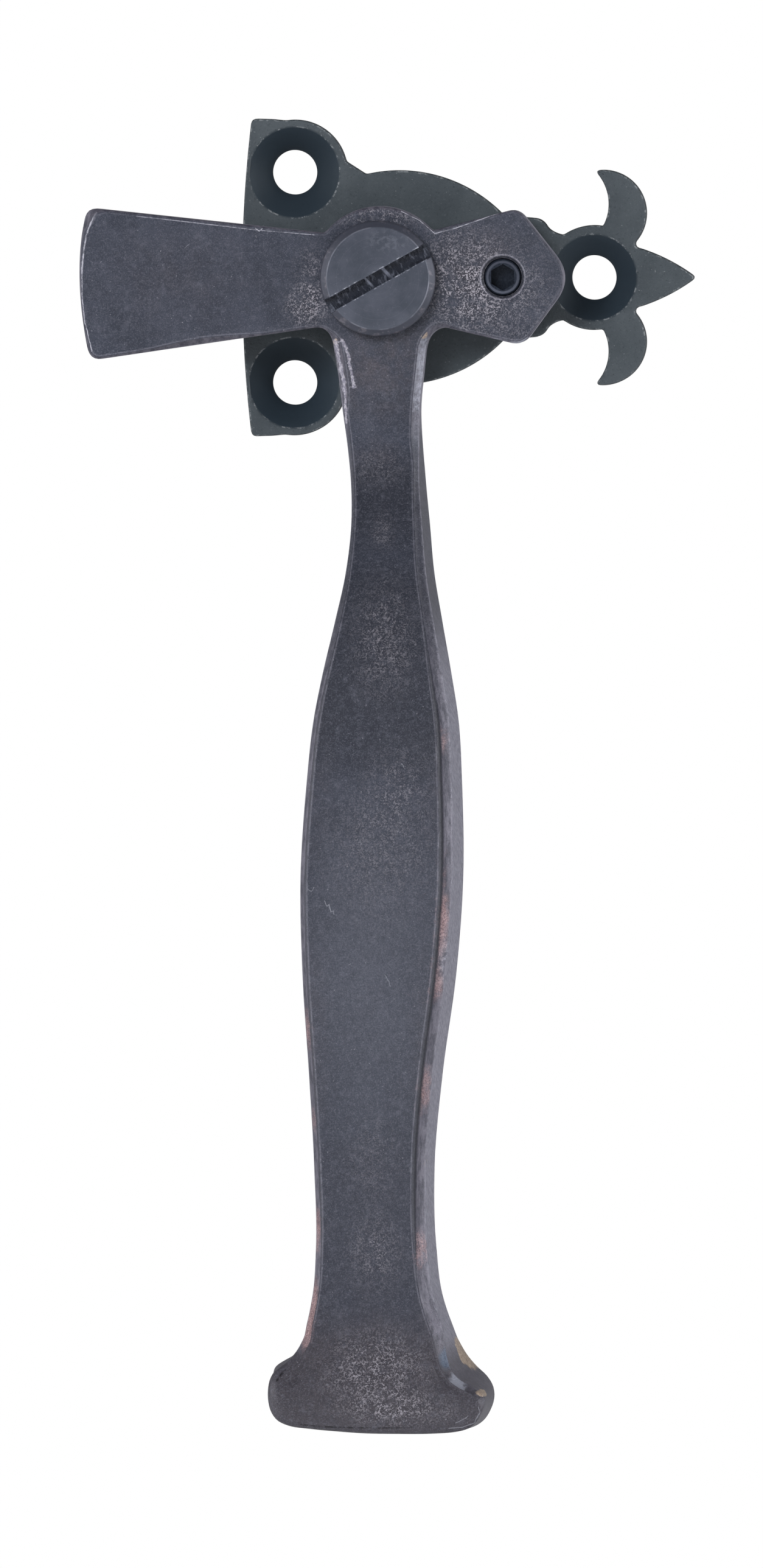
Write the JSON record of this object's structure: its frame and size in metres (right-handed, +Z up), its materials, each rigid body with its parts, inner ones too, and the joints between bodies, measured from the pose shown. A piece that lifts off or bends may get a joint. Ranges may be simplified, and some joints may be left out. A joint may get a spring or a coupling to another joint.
{
  "type": "casement window fastener",
  "caption": "Casement window fastener with a turning lever handle, a flat tongue, a spear-and-leaf backplate and a set screw that locks it closed.",
  "frame": {"origin": "where the pivot axis meets the back face of the backplate", "axes": "+X to the right and +Z up, seen from the room; +Y into the window frame, square to the backplate"},
  "size_m": [0.0672, 0.0319, 0.1437],
  "materials": {
    "plate_steel": "blackened and waxed, fine grain",
    "lever_steel": "forged, heat-oxide patina, waxed",
    "screw_steel": "turned, darkened",
    "set_screw_steel": "black oxide",
    "spring_steel": "bright, oiled"
  },
  "bodies": {
    "plate": {"backplate": "plate_steel", "pivot_boss": "plate_steel", "thrust_washer": "spring_steel", "pivot_screw": "screw_steel"},
    "lever": {"lever": "lever_steel", "wave_washer": "spring_steel"},
    "lock_screw": {"lock_screw": "set_screw_steel"}
  },
  "joints": [
    {"name": "lever_turn", "type": "hinge", "parent": "plate", "child": "lever", "pos_m": [0, 0, 0], "axis": [0, -1, 0], "range_deg": [0, 90]},
    {"name": "lock_screw_travel", "type": "slide", "parent": "lever", "child": "lock_screw", "axis": [0, 1, 0], "range_m": [0, 0.0031]}
  ]
}
